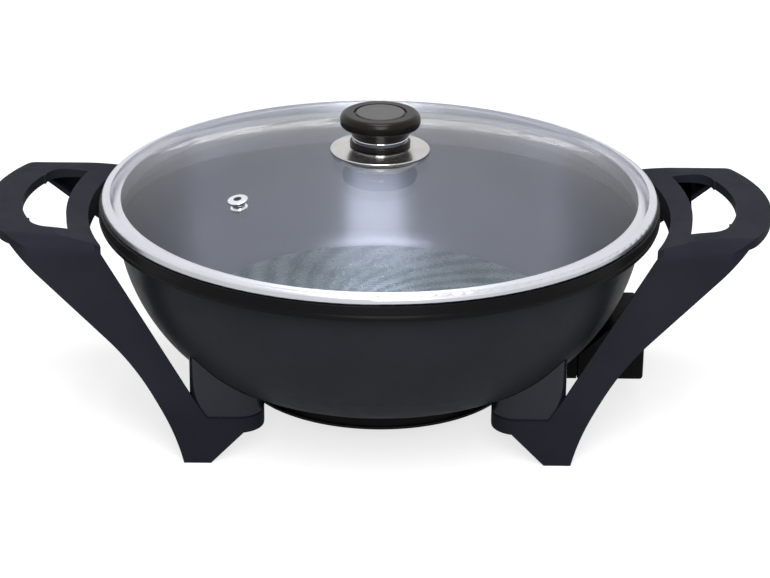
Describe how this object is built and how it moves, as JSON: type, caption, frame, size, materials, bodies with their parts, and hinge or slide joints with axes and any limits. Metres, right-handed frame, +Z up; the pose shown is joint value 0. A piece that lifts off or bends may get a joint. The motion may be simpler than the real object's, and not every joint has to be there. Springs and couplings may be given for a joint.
{
  "type": "electric wok",
  "caption": "Free-standing electric wok with a lift-off domed glass lid, handle-and-leg mouldings and a plug-in temperature control with a dial.",
  "frame": {"origin": "on the table under the axis of the pan", "axes": "+X from the left handle to the right one, where the temperature control is; +Y away from the viewer; +Z up along the pan's axis"},
  "size_m": [0.49, 0.3512, 0.1957],
  "materials": {
    "pan_coating": "dark coating, satin outside and smooth inside",
    "element_sheath": "heat-tinted steel sheath",
    "pin_metal": "plated",
    "ceramic": "ceramic, unglazed",
    "painted_steel": "black paint",
    "screw_steel": "zinc plated",
    "black_plastic": "fine grain",
    "handle_plastic": "satin phenolic",
    "pillar_plastic": "glossy phenolic",
    "lid_glass": "clear tempered",
    "band_steel": "polished band",
    "vent_steel": "polished",
    "flange_steel": "turned and polished",
    "knob_plastic": "glossy phenolic",
    "collar_steel": "polished",
    "knob_disc": "satin grey inlay",
    "washer_steel": "pale satin",
    "contact_brass": "drawn tube",
    "dial_plastic": "satin",
    "lamp_lens": "clear amber-red",
    "black_rubber": "matt"
  },
  "bodies": {
    "wok": {"pan_body": "pan_coating", "heating_element": "element_sheath", "terminal_pins": "pin_metal", "terminal_insulators": "ceramic", "base_cover": "painted_steel", "base_cover_screws": "screw_steel", "socket_guard": "black_plastic", "socket_guard_screws": "screw_steel", "left_handle_stand": "handle_plastic", "right_handle_stand": "handle_plastic", "front_left_pillar": "pillar_plastic", "front_right_pillar": "pillar_plastic", "rear_left_pillar": "pillar_plastic", "rear_right_pillar": "pillar_plastic", "pillar_screws": "screw_steel"},
    "lid": {"lid_glass": "lid_glass", "lid_band": "band_steel", "steam_vent": "vent_steel", "knob_flange": "flange_steel", "knob_base_ring": "knob_plastic", "knob_collar": "collar_steel", "knob_body": "knob_plastic", "knob_top_disc": "knob_disc", "knob_screw": "screw_steel", "knob_washer": "washer_steel"},
    "control": {"control_lower_housing": "black_plastic", "control_upper_housing": "black_plastic", "control_sensor": "pin_metal", "socket_contacts": "contact_brass", "control_screws": "screw_steel", "indicator_lens": "lamp_lens", "cord_gland": "black_rubber"},
    "dial": {"control_dial": "dial_plastic", "dial_spindle": "pin_metal"}
  },
  "joints": [
    {"name": "lid_lift", "type": "slide", "parent": "wok", "child": "lid", "axis": [0, 0, 1], "range_m": [0, 0.06]},
    {"name": "control_pull", "type": "slide", "parent": "wok", "child": "control", "axis": [1, 0, 0], "range_m": [0, 0.06]},
    {"name": "dial_turn", "type": "hinge", "parent": "control", "child": "dial", "pos_m": [0.16, 0, 0.04596], "axis": [1, 0, 0], "range_deg": [-270, 0]}
  ]
}
